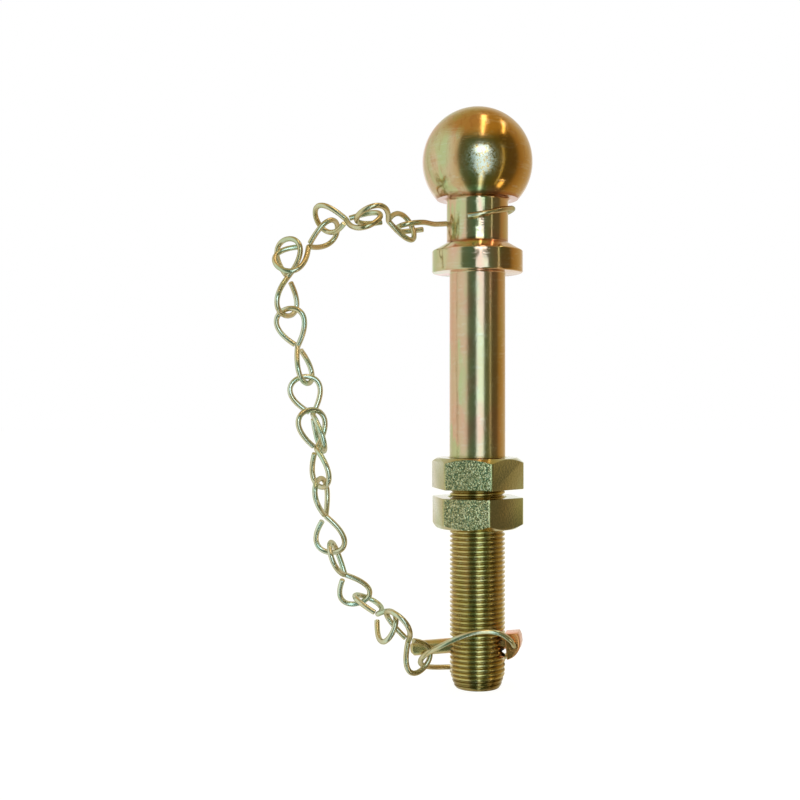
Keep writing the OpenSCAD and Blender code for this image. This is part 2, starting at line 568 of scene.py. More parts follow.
@dataclass
class Effects:
    """Shader groups that the finishes share, each built once."""

    patch_shift: Triple = (0.31, 0.17, 0.05)
    rose_from: Slope = (0.42, 0.60)
    green_from: Slope = (0.50, 0.66)
    gold_scale: float = 0.6
    gold_drift: float = 1.2
    scratch_runs: tuple[Range, ...] = ((0.0, 0.1), (0.3, 0.4), (1.5, 0.9))
    scratch_tilt: float = 0.3
    scratch_stretch: Triple = (0.04, 1, 1)
    scratch_gate: Slope = (0.54, 0.62)
    gate_scale: float = 0.45
    gate_distortion: float = 3.0
    fine_scale: float = 2.3
    fine_share: float = 0.15
    speck_from: Slope = (0.58, 0.68)
    ragged_scale: float = 160.0
    ragged_width: float = 0.0016

    def __post_init__(self) -> None:
        """Builds the groups."""
        self.cast = self.zinc_cast()
        self.scratches = self.fine_scratches()
        self.grain = self.forged_grain()
        self.stains = self.corner_stain()

    def zinc_cast(self) -> Tree:
        """Patches of rose, green and gold in the cream of the passivated layer.

        Returns:
            The group, whose colour drifts with the layer's thickness.
        """
        net, given, out = group_tree(
            "zinc_cast",
            {"Vector": Kind.VECTOR, "Patch scale": Kind.VALUE, "Cream": Kind.COLOUR,
             "Rose": Kind.COLOUR, "Green": Kind.COLOUR, "Gold": Kind.COLOUR,
             "Gilding": Kind.VALUE},
            {"Color": Kind.COLOUR},
        )
        scale = given["Patch scale"]
        moved = net.stretch(given["Vector"], EVEN, shift=self.patch_shift)
        rosy = net.noise(given["Vector"], scale, detail=2.5, roughness=0.55, distortion=0.4)
        greenish = net.noise(moved, scale, detail=1.5, distortion=0.8)
        golden = net.noise(moved, net.times(scale, self.gold_scale))
        pink = net.blend(net.step(rosy, *self.rose_from), given["Cream"], given["Rose"])
        patchy = net.blend(net.step(greenish, *self.green_from), pink, given["Green"])
        drift = net.times(net.minus(golden, MIDDLE), self.gold_drift)
        share = net.math("ADD", given["Gilding"], drift, clamp=True)
        net.fill(out, Color=net.blend(share, patchy, given["Gold"]))
        return net.tree

    def fine_scratches(self) -> Tree:
        """Hairline scratches in three directions.

        Returns:
            The group, whose mask is one on a scratch.
        """
        net, given, out = group_tree(
            "fine_scratches",
            {"Vector": Kind.VECTOR, "Scale": Kind.VALUE, "Width": Kind.VALUE},
            {"Mask": Kind.VALUE, "Height": Kind.VALUE},
        )
        total: object = 0.0
        for turn, shift in self.scratch_runs:
            spun = net.stretch(given["Vector"], self.scratch_stretch,
                               (0, turn, turn * self.scratch_tilt), (shift, shift, shift))
            wave = net.noise(spun, given["Scale"], detail=3.0, roughness=0.6)
            line = net.ridge(net.minus(wave, MIDDLE), given["Width"])
            patch = net.noise(given["Vector"], net.times(given["Scale"], self.gate_scale),
                              detail=1.0, distortion=shift * self.gate_distortion)
            total = net.larger(total, net.times(line, net.step(patch, *self.scratch_gate)))
        net.fill(out, Mask=total, Height=net.times(total, -1.0))
        return net.tree

    def forged_grain(self) -> Tree:
        """Pits and specks of a forged and pickled surface.

        Returns:
            The group, with a mask of the bright specks and a height.
        """
        net, given, out = group_tree(
            "forged_grain", {"Vector": Kind.VECTOR, "Grain": Kind.VALUE},
            {"Mask": Kind.VALUE, "Height": Kind.VALUE},
        )
        coarse = net.noise(given["Vector"], given["Grain"], detail=1.0, distortion=0.3)
        fine = net.noise(given["Vector"], net.times(given["Grain"], self.fine_scale),
                         roughness=0.6)
        height = net.plus(coarse, net.times(fine, self.fine_share))
        net.fill(out, Mask=net.step(height, *self.speck_from), Height=height)
        return net.tree

    def corner_stain(self) -> Tree:
        """Band round the axis at one height, where the bath dries last.

        Returns:
            The group, whose mask is one in the middle of the band.
        """
        net, given, out = group_tree(
            "corner_stain",
            {"Vector": Kind.VECTOR, "Height": Kind.VALUE, "Reach": Kind.VALUE},
            {"Mask": Kind.VALUE},
        )
        z = net.parts(given["Vector"])[2]
        ragged = net.times(net.noise(given["Vector"], self.ragged_scale), self.ragged_width)
        off = net.plus(net.minus(z, given["Height"]), net.minus(ragged, self.ragged_width / 2))
        net.fill(out, Mask=net.step(net.ridge(off, given["Reach"]), 0.0, 1.0))
        return net.tree


# Finishes. Their slopes are given as for Wiring.step, and their lengths are in metres.


@dataclass
class Coating:
    """A material in the making, with its Object coordinates and its patchy colour."""

    net: Wiring
    effects: Effects
    shader: Node
    place: Socket
    cast: Node


@dataclass(frozen=True)
class PassivatedSteel:
    """Yellow-passivated zinc on steel: the colours and gloss that all pieces share."""

    name: str
    cream: Colour = screen(222, 214, 176)
    rose: Colour = screen(232, 196, 166)
    green: Colour = screen(200, 214, 164)
    gold: Colour = screen(204, 162, 92)
    patch_scale: float = 34.0
    stretch: Triple = (1.0, 1.0, 0.4)
    gilding: float = 0.35
    roughness: float = 0.2
    coat: float = 0.25
    coat_roughness: float = 0.12
    cloud_scale: float = 120.0
    cloud_detail: float = 3.0
    cloud_share: float = 0.12

    def build(self, effects: Effects) -> Material:
        """Builds the material.

        Args:
            effects: The shared shader groups.

        Returns:
            The material.
        """
        material = bpy.data.materials.new(self.name)
        material.use_nodes = True
        net = Wiring(material.node_tree)
        shader = net.fill(net.node("ShaderNodeBsdfPrincipled"), Metallic=1.0,
                          Coat_Weight=self.coat, Coat_Roughness=self.coat_roughness)
        net.fill(net.node("ShaderNodeOutputMaterial"), Surface=shader.outputs[0])
        place = net.node("ShaderNodeTexCoord").outputs["Object"]
        cast = net.group(
            effects.cast, Vector=net.stretch(place, self.stretch), Patch_scale=self.patch_scale,
            Cream=self.cream, Rose=self.rose, Green=self.green, Gold=self.gold,
            Gilding=self.gilding,
        )
        self.paint(Coating(net, effects, shader, place, cast))
        return material

    def paint(self, coating: Coating) -> None:
        """Gives the shader its patchy colour."""
        coating.net.fill(coating.shader, Base_Color=coating.cast.outputs["Color"])

    def clouded(self, coating: Coating) -> tuple[Socket, Socket]:
        """Uneven gloss.

        Args:
            coating: The material in the making.

        Returns:
            A cloudy height, and a roughness that varies with it.
        """
        net = coating.net
        cloud = net.noise(coating.place, self.cloud_scale, self.cloud_detail, roughness=0.6)
        least = self.roughness - self.cloud_share / 2
        return cloud, net.plus(net.times(cloud, self.cloud_share), least)


@dataclass(frozen=True)
class TurnedFinish(PassivatedSteel):
    """Turned ball, neck, collar and shank, with stained corners, a rubbed ball, and painted light:
    painted reflection tints, painted shade in the thread's roots and a painted highlight.
    """

    name: str = "turned_passivated_steel"
    cream: Colour = screen(224, 210, 170)
    rose: Colour = screen(238, 188, 162)
    green: Colour = screen(194, 214, 158)
    gold: Colour = screen(208, 158, 74)
    patch_scale: float = 55.0
    cloud_detail: float = 4.0
    copper: Colour = screen(176, 104, 50)
    worn_steel: Colour = screen(242, 240, 230)
    thread_gold: Colour = screen(208, 184, 106)
    # Painted shade in the thread's roots
    root_brown: Colour = screen(140, 116, 56)
    drawn_down: Triple = (1, 1, 0.3)
    # Painted reflection: gold on the right side and on the ball's top and front, where the metal
    # mirrors the warm surround
    warm_side: Slope = (-0.004, 0.016, -0.1, 0.95)
    ball_front: Slope = (-0.016, -0.009, 0.0, 0.85)
    ball_foot: Slope = (0.033, 0.038)
    ball_top: Slope = (0.052, 0.074, 0.0, 0.9)
    ball_from: Slope = (0.032, 0.036)
    collar_top: Slope = (0.0125, 0.0140)
    collar_foot: Slope = (-0.0002, -0.0010)
    # Rose and green painted on the left side as a reflection of the bright left panel
    blush_side: Slope = (-0.002, -0.011, 0.0, 0.6)
    blush_lost_on_ball: float = 0.45
    green_scale: float = 130.0
    green_patches: Slope = (0.52, 0.62)
    green_share: float = 1.1
    thread_from: Slope = (-0.0835, -0.086, 0.0, 0.75)
    thread_root: Slope = (0.0120, 0.0115)
    stain_heights: tuple[float, ...] = (0.0336, 0.0138)
    stain_reach: float = 0.0016
    stain_share: float = 0.8
    wrap_radius: float = 0.014
    scratch_scale: float = 420.0
    scratch_width: float = 0.035
    scratch_share: float = 0.22
    # Centre of the ball's silver spot, put where the lamp's highlight falls: partly wear, partly a
    # painted highlight
    worn_spot: Triple = (0.0004, -0.0248, 0.0474)
    spot_reach: Slope = (0.0110, 0.003)
    speckle_scale: float = 900.0
    speckle: Slope = (0.38, 0.56, 0.1, 1.0)
    worn_share: float = 0.85
    mottle_scale: float = 420.0
    mottle: Slope = (0.30, 0.52)
    mottle_share: float = 0.28
    worn_roughness: float = 0.17
    thread_roughness: float = 0.05
    polish: float = 0.08
    polish_from: Slope = (0.0, 0.002)
    polish_on_ball: Slope = (0.035, 0.033, 0.5)
    lathe_scale: float = 900.0
    lathe_stretch: Triple = (0.02, 0.02, 1)
    lathe_share: float = 0.35
    relief: Range = (0.25, 0.00005)

    def paint(self, coating: Coating) -> None:
        """Gives the shader its colour, roughness and normal.

        Args:
            coating: The material in the making.
        """
        net, place, shader = coating.net, coating.place, coating.shader
        x, y, z = net.parts(place)
        # Painted reflection: gold on the right side, on the ball's top, and on the ball apart from
        # its left side
        front = net.times(net.step(x, *self.ball_front), net.step(z, *self.ball_foot))
        top = net.larger(net.step(z, *self.ball_top), front)
        net.fill(coating.cast, Gilding=net.plus(net.step(x, *self.warm_side), top))
        on_thread = net.step(z, *self.thread_from)
        worn, scratches = self.worn(coating)
        colour = self.blushed(coating, coating.cast.outputs["Color"])
        colour = net.blend(on_thread, colour, self.thread_gold)
        # Painted shade: darker brown in the thread's roots
        root = net.times(net.step(net.radius(x, y), *self.thread_root), on_thread)
        colour = net.blend(root, colour, self.root_brown)
        for height in self.stain_heights:
            stain = net.group(coating.effects.stains, Vector=place, Height=height,
                              Reach=self.stain_reach)
            colour = net.blend(net.times(stain.outputs["Mask"], self.stain_share), colour,
                               self.copper)
        spread = net.noise(net.stretch(place, self.drawn_down), self.mottle_scale, detail=4.0,
                           roughness=0.65)
        clear = net.step(spread, *self.mottle)
        shade = net.times(net.step(z, *self.ball_from), net.minus(1.0, clear))
        colour = net.blend(net.times(shade, self.mottle_share), colour, self.copper)
        # Whitens the scratches, and the ball's spot as a painted highlight
        colour = net.blend(net.times(worn, self.worn_share), colour, self.worn_steel)
        rough = net.plus(self.clouded(coating)[1], net.times(worn, self.worn_roughness))
        rough = net.plus(rough, net.times(on_thread, self.thread_roughness))
        polished = net.times(net.step(z, *self.polish_from), net.step(z, *self.polish_on_ball))
        rough = net.minus(rough, net.times(polished, self.polish))
        rings = net.noise(net.stretch(place, self.lathe_stretch), self.lathe_scale)
        height = net.plus(net.times(rings, self.lathe_share), scratches)
        net.fill(shader, Base_Color=colour, Roughness=rough,
                 Normal=net.bump(height, *self.relief))

    def blushed(self, coating: Coating, colour: Socket) -> Socket:
        """Adds rose and green on the left, apart from the collar: the coating's own tints, painted
        only on the side that mirrors the bright left panel, so partly a painted reflection.

        Args:
            coating: The material in the making.
            colour: The colour so far.

        Returns:
            The new colour.
        """
        net = coating.net
        x, _, z = net.parts(coating.place)
        beside = net.larger(net.step(z, *self.collar_foot), net.step(z, *self.collar_top))
        beside = net.minus(beside, net.step(z, *self.ball_from, 0.0, self.blush_lost_on_ball))
        blush = net.times(net.step(x, *self.blush_side), beside)
        colour = net.blend(blush, colour, self.rose)
        spread = net.noise(net.stretch(coating.place, self.drawn_down), self.green_scale)
        green = net.times(blush, net.step(spread, *self.green_patches))
        return net.blend(net.times(green, self.green_share), colour, self.green)

    def worn(self, coating: Coating) -> tuple[Socket, Socket]:
        """Where the layer shows wear, and the painted highlight: the scratches, and the silver spot
        on the ball, whitened where the lamp's highlight falls.

        Args:
            coating: The material in the making.

        Returns:
            A mask of the scratches and of the spot, which is partly wear and partly a painted
            highlight, and the height of the scratches.
        """
        net = coating.net
        x, y, z = net.parts(coating.place)
        around = net.fill(net.node("ShaderNodeCombineXYZ"), Z=z,
                          X=net.times(net.azimuth(x, y), self.wrap_radius))
        scratches = net.group(coating.effects.scratches, Vector=around.outputs[0],
                              Scale=self.scratch_scale, Width=self.scratch_width)
        # Painted highlight: a speckled whitish spot where the lamp's highlight falls on the ball,
        # also rougher as wear
        away = net.node("ShaderNodeVectorMath", operation="DISTANCE")
        net.result(away, coating.place, self.worn_spot)
        specks = net.noise(coating.place, self.speckle_scale, detail=5.0, roughness=0.7)
        spot = net.times(net.step(away.outputs["Value"], *self.spot_reach),
                         net.step(specks, *self.speckle))
        lines = net.times(scratches.outputs["Mask"], self.scratch_share)
        return net.larger(lines, spot), scratches.outputs["Height"]


@dataclass(frozen=True)
class ForgedFinish(PassivatedSteel):
    """Forged nuts, with their grain painted mainly on the face to the front and left: cream specks
    as painted glints and dark green pits as a painted reflection.
    """

    name: str = "forged_passivated_steel"
    cream: Colour = screen(200, 206, 168)
    rose: Colour = screen(206, 196, 150)
    gold: Colour = screen(190, 156, 84)
    # Painted glints and painted dark reflection of the grain, laid mainly on the front and left
    # face
    speck: Colour = screen(232, 220, 182)
    pit: Colour = screen(112, 134, 106)
    gilding: float = 0.22
    roughness: float = 0.16
    grain: float = 1250.0
    face_ahead: float = -0.954
    face_aside: float = 0.30
    upright: Slope = (0.15, 0.4, 1.0, 0.1)
    speckled: Slope = (0.94, 0.98, 0.15, 1.0)
    pitted: Slope = (0.58, 0.48)
    grain_share: float = 0.8
    grain_roughness: float = 0.12
    smoothest: float = 0.08
    relief: Range = (1.0, 0.00042)

    def paint(self, coating: Coating) -> None:
        """Gives the shader its colour, roughness and normal.

        Args:
            coating: The material in the making.
        """
        net = coating.net
        aside, ahead, up = net.parts(net.node("ShaderNodeNewGeometry").outputs["Normal"])
        # The upright faces to the front and left, where the grain's specks and pits are painted
        # strong as glints and dark reflection
        facing = net.minus(net.times(ahead, self.face_ahead), net.times(aside, self.face_aside))
        on_flat = net.times(net.step(net.math("ABSOLUTE", up), *self.upright),
                            net.step(facing, *self.speckled))
        grain = net.group(coating.effects.grain, Vector=coating.place, Grain=self.grain)
        height = grain.outputs["Height"]
        pits = net.times(net.step(height, *self.pitted), on_flat)
        colour = net.blend(net.times(pits, self.grain_share), coating.cast.outputs["Color"],
                           self.pit)
        specks = net.times(grain.outputs["Mask"], net.times(on_flat, self.grain_share))
        rough = net.plus(net.times(height, self.grain_roughness), self.roughness - self.smoothest)
        net.fill(coating.shader, Base_Color=net.blend(specks, colour, self.speck),
                 Roughness=rough, Normal=net.bump(net.times(height, on_flat), *self.relief))


@dataclass(frozen=True)
class SatinFinish(PassivatedSteel):
    """Linch pin, with an orange cast and a satin surface."""

    name: str = "satin_passivated_steel"
    gold: Colour = screen(240, 146, 74)
    rose: Colour = screen(234, 190, 148)
    warm_end: Slope = (0.009, 0.014, 0.35, 0.9)
    roughness: float = 0.26
    patch_scale: float = 70.0
    cloud_scale: float = 260.0
    cloud_share: float = 0.14
    scratch_scale: float = 700.0
    scratch_width: float = 0.04
    cloud_height: float = 0.6
    relief: Range = (0.25, 0.00008)

    def paint(self, coating: Coating) -> None:
        """Gives the shader its colour, roughness and normal.

        Args:
            coating: The material in the making.
        """
        super().paint(coating)
        net, place = coating.net, coating.place
        net.fill(coating.cast, Gilding=net.step(net.parts(place)[0], *self.warm_end))
        cloud, rough = self.clouded(coating)
        scratches = net.group(coating.effects.scratches, Vector=place, Scale=self.scratch_scale,
                              Width=self.scratch_width)
        height = net.plus(net.times(cloud, self.cloud_height), scratches.outputs["Height"])
        net.fill(coating.shader, Roughness=rough, Normal=net.bump(height, *self.relief))


@dataclass(frozen=True)
class WireFinish(PassivatedSteel):
    """Drawn wire, pale and glossy, more golden at the chain's two ends."""

    name: str = "drawn_passivated_wire"
    cream: Colour = screen(242, 244, 230)
    rose: Colour = screen(238, 226, 196)
    green: Colour = screen(216, 236, 218)
    gold: Colour = screen(214, 178, 106)
    edge_tint: Colour = screen(176, 180, 146)
    roughness: float = 0.25
    patch_scale: float = 95.0
    stretch: Triple = (1.0, 1.0, 1.0)
    cloud_scale: float = 420.0
    golden_above: Slope = (-0.02, 0.015, 0.08, 0.45)
    golden_below: Slope = (-0.145, -0.165, 0.0, 0.3)
    relief: Range = (0.1, 0.00002)

    def paint(self, coating: Coating) -> None:
        """Gives the shader its colour, roughness and normal.

        Args:
            coating: The material in the making.
        """
        super().paint(coating)
        net = coating.net
        z = net.parts(coating.place)[2]
        share = net.plus(net.step(z, *self.golden_above), net.step(z, *self.golden_below))
        net.fill(coating.cast, Gilding=share)
        cloud, rough = self.clouded(coating)
        net.fill(coating.shader, Specular_Tint=self.edge_tint, Roughness=rough,
                 Normal=net.bump(cloud, *self.relief))


# Pieces


@dataclass
class BallPin:
    """Ball, neck, collar, shank and thread, turned from one bar."""

    ball_d: float = 50.0
    ball_z: float = 50.4
    ball_flat: float = 16.9
    ball_steps: int = 64
    neck_r: float = 14.0
    neck_fillet: float = 1.6
    neck_foot: float = 13.8
    foot_fillet: float = 0.7
    collar_r: float = 20.65
    collar_band: float = 10.0
    collar_round: float = 0.9
    shank_r: float = 12.7
    shank_fillet: float = 0.6
    shank_end: float = -83.7
    relief_r: float = 11.0
    relief_round: float = 0.3
    relief_end: float = -86.0
    thread_r: float = 12.55
    thread_depth: float = 1.05
    thread_top: float = -84.2
    crest_round: float = 0.06
    root_round: float = 0.08
    pitch: float = 25.4 / 12
    spare_turns: int = 2
    length: float = 188.0
    tip_from: float = -181.3
    tip_slope: float = 0.27
    tip_r: float = 10.75
    tip_bend: float = 3.0
    tip_edge: float = 1.2
    tip_inset: float = 0.95
    tip_clear: float = 0.05
    rim_round: float = 0.5
    spare: float = 1.0
    hole_d: float = 11.0
    hole_z: float = -168.3
    hole_turn: float = 12.0
    hole_steps: int = 64
    steps: int = 144
    thread_steps: int = 96

    def turned(self) -> Piece:
        """Turns the part above the thread.

        Returns:
            The solid, from the ball down to the thread's relief.
        """
        radius = self.ball_d / 2
        low = -math.degrees(math.asin(self.ball_flat / radius))
        neck_top = self.ball_z - self.ball_flat
        ball = arc((0, self.ball_z), radius, 90, low, self.ball_steps)
        ball[0] = (0, self.ball_z + radius)
        stem = rounded([
            (*ball[-1], 0), (self.neck_r, neck_top, self.neck_fillet),
            (self.neck_r, self.neck_foot, self.foot_fillet),
            (self.collar_r, self.collar_band, self.collar_round),
            (self.collar_r, 0, self.collar_round), (self.shank_r, 0, self.shank_fillet),
            (self.shank_r, self.shank_end, self.relief_round),
            (self.relief_r, self.shank_end, self.relief_round),
            (self.relief_r, self.relief_end, 0),
        ])
        outline = [*ball[:-1], *stem, (0, self.relief_end)]
        return solid(lathe(outline, self.steps), "ball_pin_turned")

    def thread(self) -> Piece:
        """Makes the helical thread.

        Returns:
            The thread, cut off square above and shaped below by the tip.
        """
        crest, root = self.thread_r, self.thread_r - self.thread_depth
        flank_top, flank_foot = crest - self.crest_round, root + self.root_round
        tooth = (
            (0.06, crest), (0.26, crest), (0.32, flank_top), (0.53, flank_foot),
            (0.60, root), (0.68, root), (0.75, flank_foot), (0.99, flank_top),
        )
        top = self.thread_top + self.spare_turns * self.pitch
        turns = math.ceil((self.length + top) / self.pitch) + self.spare_turns
        bm = bmesh.new()
        verts = [
            bm.verts.new((radius, 0, top - (turn + share) * self.pitch))
            for turn in range(turns) for share, radius in tooth
        ]
        edges = [bm.edges.new(pair) for pair in zip(verts, verts[1:])]
        bmesh.ops.spin(
            bm, geom=verts + edges, cent=(0, 0, 0), axis=(0, 0, 1),
            dvec=(0, 0, self.pitch / self.thread_steps), angle=math.tau,
            steps=self.thread_steps, use_merge=False, use_duplicate=False,
        )
        bmesh.ops.remove_doubles(bm, verts=bm.verts[:], dist=WELD)
        for vert in bm.verts:
            shrink = 1 - self.tip_slope * max(0.0, self.tip_from - vert.co.z) / self.thread_r
            vert.co.x *= shrink
            vert.co.y *= shrink
        for height, direction in ((self.thread_top, 1), (-self.length - self.pitch / 2, -1)):
            bmesh.ops.bisect_plane(
                bm, geom=bm.verts[:] + bm.edges[:] + bm.faces[:], plane_co=(0, 0, height),
                plane_no=(0, 0, direction), clear_outer=True,
            )
            rim = [
                edge for edge in bm.edges
                if edge.is_boundary and all(abs(v.co.z - height) < WELD for v in edge.verts)
            ]
            bmesh.ops.edgeloop_fill(bm, edges=rim)
        bmesh.ops.recalc_face_normals(bm, faces=bm.faces[:])
        thread = solid(bm, "ball_pin_thread")
        envelope = rounded([
            (0, self.thread_top + self.spare, 0),
            (crest + self.spare, self.thread_top + self.spare, 0),
            (crest + self.spare, self.tip_from + self.tip_bend, 0),
            (crest - self.tip_clear, self.tip_from, self.tip_bend),
            (self.tip_r, -self.length + self.tip_edge, self.tip_edge),
            (self.tip_r - self.tip_inset, -self.length, self.rim_round), (0, -self.length, 0),
        ])
        combine(thread, solid(lathe(envelope, self.steps), "tip_form"), Cut.INTERSECT)
        return thread

    def cross_drill(self) -> Piece:
        """Makes the drill for the linch pin's hole.

        Returns:
            The drill, in its place.
        """
        turn = Matrix.Rotation(math.radians(-self.hole_turn), 4, "Z")
        lay = Matrix.Rotation(math.pi / 2, 4, "Y")
        place = Matrix.Translation((0, 0, self.hole_z)) @ turn @ lay
        return drill(self.hole_d, 4 * self.shank_r, self.hole_steps, place, "cross_drill")

    def build(self, material: Material) -> Piece:
        """Builds the whole pin.

        Args:
            material: Its finish.

        Returns:
            The piece, riding on its body.
        """
        piece = self.turned()
        piece.name = "threaded_ball_pin"
        combine(piece, self.thread(), Cut.UNION)
        combine(piece, self.cross_drill(), Cut.DIFFERENCE)
        return dress(piece, material, Body.ROOT, "ball_pin")


@dataclass
class JamNut:
    """Hexagon nut, chamfered on one side."""

    flats: float = 37.3
    height: float = 14.0
    face_r: float = 18.2
    chamfer_angle: float = 34.0
    bore_r: float = 12.9
    lead: float = 0.9
    lead_round: float = 0.2
    corner_round: float = 0.8
    corner_steps: int = 3
    edge_round: float = 0.3
    edge_steps: int = 2
    spare: float = 1.0
    steps: int = 144

    def build(self, bottom: float, turn: float, upside: bool, node: str, body: Body,
              material: Material) -> Piece:
        """Builds a nut in its place.

        Args:
            bottom: Height of its lower face.
            turn: Turn of its front corner from the viewer's side, in degrees.
            upside: True where the chamfer is on the upper side.
            node: The node that it replaces.
            body: The body that it rides on.
            material: Its finish.

        Returns:
            The piece.
        """
        corner_r = self.flats / 2 / math.cos(math.pi / 6)
        outer = corner_r + self.spare
        drop = (outer - self.face_r) * math.tan(math.radians(self.chamfer_angle))
        blank = rounded([
            (self.bore_r, self.height / 2, 0),
            (self.bore_r, self.height - self.lead, self.lead_round),
            (self.bore_r + self.lead, self.height, self.edge_round),
            (self.face_r, self.height, self.edge_round), (outer, self.height - drop, 0),
            (outer, 0, 0), (self.bore_r + self.lead, 0, self.edge_round),
            (self.bore_r, self.lead, self.lead_round), (self.bore_r, self.height / 2, 0),
        ])
        bm = bmesh.new()
        bmesh.ops.create_circle(bm, cap_ends=True, segments=6, radius=corner_r)
        pull(bm, (0, 0, self.height))
        uprights = [e for e in bm.edges if abs(e.verts[0].co.z - e.verts[1].co.z) > WELD]
        bevel_edges(bm, uprights, self.corner_round, self.corner_steps)
        bevel_edges(bm, [e for e in bm.edges if all(v.co.z < WELD for v in e.verts)],
                    self.edge_round, self.edge_steps)
        corner_angle = math.radians(turn - 90) * (1 if upside else -1)
        spin = Matrix.Rotation(corner_angle - math.pi / 2, 3, "Z")
        bmesh.ops.rotate(bm, cent=(0, 0, 0), matrix=spin, verts=bm.verts[:])
        piece = solid(bm, node.replace("nut", "jam_nut"))
        combine(piece, solid(lathe(blank[:-1], self.steps, closed=True), "nut_blank"),
                Cut.INTERSECT)
        flip = Matrix.Identity(4) if upside else Matrix.Rotation(math.pi, 4, "X")
        lift = 0 if upside else self.height
        place = Matrix.Translation((0, 0, (bottom + lift) * MM)) @ flip
        piece.data.transform(place)
        return dress(piece, material, body, node)


@dataclass
class LinchPin:
    """Pin with a flat-sided head that the ring is hooked through."""

    diameter: float = 6.8
    reach: float = 31.0
    chamfer: float = 1.4
    yaw: float = 12.0
    rise: float = 6.7
    axis_z: float = -168.3
    head_from: float = 13.4
    head_length: float = 6.7
    head_width: float = 11.0
    head_top: float = 4.0
    head_round: float = 8.0
    head_steps: int = 24
    round_back: float = 1.2
    round_up: float = 0.4
    edge: float = 0.7
    edge_steps: int = 3
    hole_d: float = 3.0
    hole_along: float = 17.3
    hole_drop: float = 1.4
    hole_steps: int = 32
    tip_rounds: Range = (0.8, 0.5)
    steps: int = 64
    overlap: float = 1.0

    def outline(self) -> list[Point2]:
        """Draws the head's side view.

        Returns:
            The points, from its top edge round to its foot.
        """
        centre = (self.head_from - self.round_back, self.round_up)
        top = math.degrees(math.asin((self.head_top - self.round_up) / self.head_round))
        foot = -math.degrees(math.acos(self.round_back / self.head_round))
        rim = arc(centre, self.head_round, top, foot, self.head_steps)
        limit = self.head_from + self.head_length
        return [(self.head_from, self.head_top), *((min(x, limit), z) for x, z in rim)]

    def head(self) -> Piece:
        """Makes the head.

        Returns:
            The solid, drawn along X as the pin is.
        """
        bm = bmesh.new()
        half = self.head_width / 2
        bm.faces.new([bm.verts.new((x, -half, z)) for x, z in self.outline()])
        pull(bm, (0, self.head_width, 0))
        rims = [e for e in bm.edges if abs(e.verts[0].co.y - e.verts[1].co.y) < WELD]
        bevel_edges(bm, rims, self.edge, self.edge_steps)
        return solid(bm, "pin_head")

    def build(self, material: Material) -> Piece:
        """Builds the pin in its place.

        Args:
            material: Its finish.

        Returns:
            The piece.
        """
        radius = self.diameter / 2
        top = self.head_from + self.overlap
        rod = rounded([
            (0, top, 0), (radius, top, 0),
            (radius, -self.reach + self.chamfer, self.tip_rounds[0]),
            (radius - self.chamfer, -self.reach, self.tip_rounds[1]), (0, -self.reach, 0),
        ])
        bm = lathe(rod, self.steps)
        bmesh.ops.rotate(bm, cent=(0, 0, 0), matrix=Matrix.Rotation(math.pi / 2, 3, "Y"),
                         verts=bm.verts[:])
        piece = solid(bm, "linch_pin_forging")
        combine(piece, self.head(), Cut.UNION)
        lay = Matrix.Translation((self.hole_along, 0, -self.hole_drop))
        place = lay @ Matrix.Rotation(math.pi / 2, 4, "X")
        combine(piece, drill(self.hole_d, 2 * self.head_width, self.hole_steps, place,
                             "ring_drill"), Cut.DIFFERENCE)
        turn = Matrix.Rotation(math.radians(-self.yaw), 4, "Z")
        tilt = Matrix.Rotation(math.radians(-self.rise), 4, "Y")
        piece.data.transform(Matrix.Translation((0, 0, self.axis_z * MM)) @ turn @ tilt)
        return dress(piece, material, Body.ROOT, "linch_pin")


# Points of the anchor wire's route, from its cut end in front of the neck
HOOK_ROUTE = (
    (-5.2, -15.3, 24), (2, -15.9, 25), (9, -13.2, 26.8), (14.4, -7, 28.5), (16, 0.5, 29.2),
    (13.8, 8.4, 28.8), (7.5, 14.4, 27.6), (-1, 16.2, 26.2), (-9, 14.2, 25), (-14.5, 10, 24),
    (-19.5, 6, 23.3), (-24, 2, 23.5), (-28, -2, 22.8), (-32.5, -3.5, 21.9), (-36, -1, 21),
    (-37, 4, 20.4), (-34.5, 8.5, 20.2), (-29.5, 10, 20.8), (-24.5, 8.5, 21.2),
)

# Points of the ring's route, from the near side of the pin's head
RING_ROUTE = (
    (16.5, -5.8, -167.8), (15.6, -10.1, -167.6), (13.2, -14.2, -163.8), (7.5, -16.2, -160.4),
    (-1, -16.4, -160.2), (-10, -14.8, -163.2), (-17, -11.8, -167.2), (-22.5, -7.5, -171),
    (-25.6, -2.5, -175), (-25.4, 3, -178.4), (-21.5, 9, -181), (-13, 14.2, -182.2),
    (-3, 16.4, -182.2), (8, 15.4, -180.2), (15.5, 10.6, -175.2), (18.7, 5.4, -169.6),
    (17.9, 1.4, -167.8), (17.3, -1.4, -167.8),
)

# Where the two loops of each link end, from the neck down and upper end first, then
# its turn in degrees from lying with the upper loop in full view
LINK_ENDS = (
    ((-30, 6, 21), (-51, -19, 25), -35), ((-45, -14, 22), (-74, 7, 26), -50),
    ((-65, 8, 22), (-89, -4, 3), 60), ((-86, 3, 17), (-87, 2, -20), -35),
    ((-87, 2, -16), (-77, 4, -50), -20), ((-80, 2, -48), (-70, -1, -80), 15),
    ((-76, -5, -62), (-70, -5, -97), 35), ((-72, -4, -93), (-66, 4, -128), 70),
    ((-67, -2, -124), (-54, 14, -152), 80), ((-52, 17, -150), (-39, -12, -161), 75),
    ((-38, -18, -152), (-25, -3, -178), -60),
)


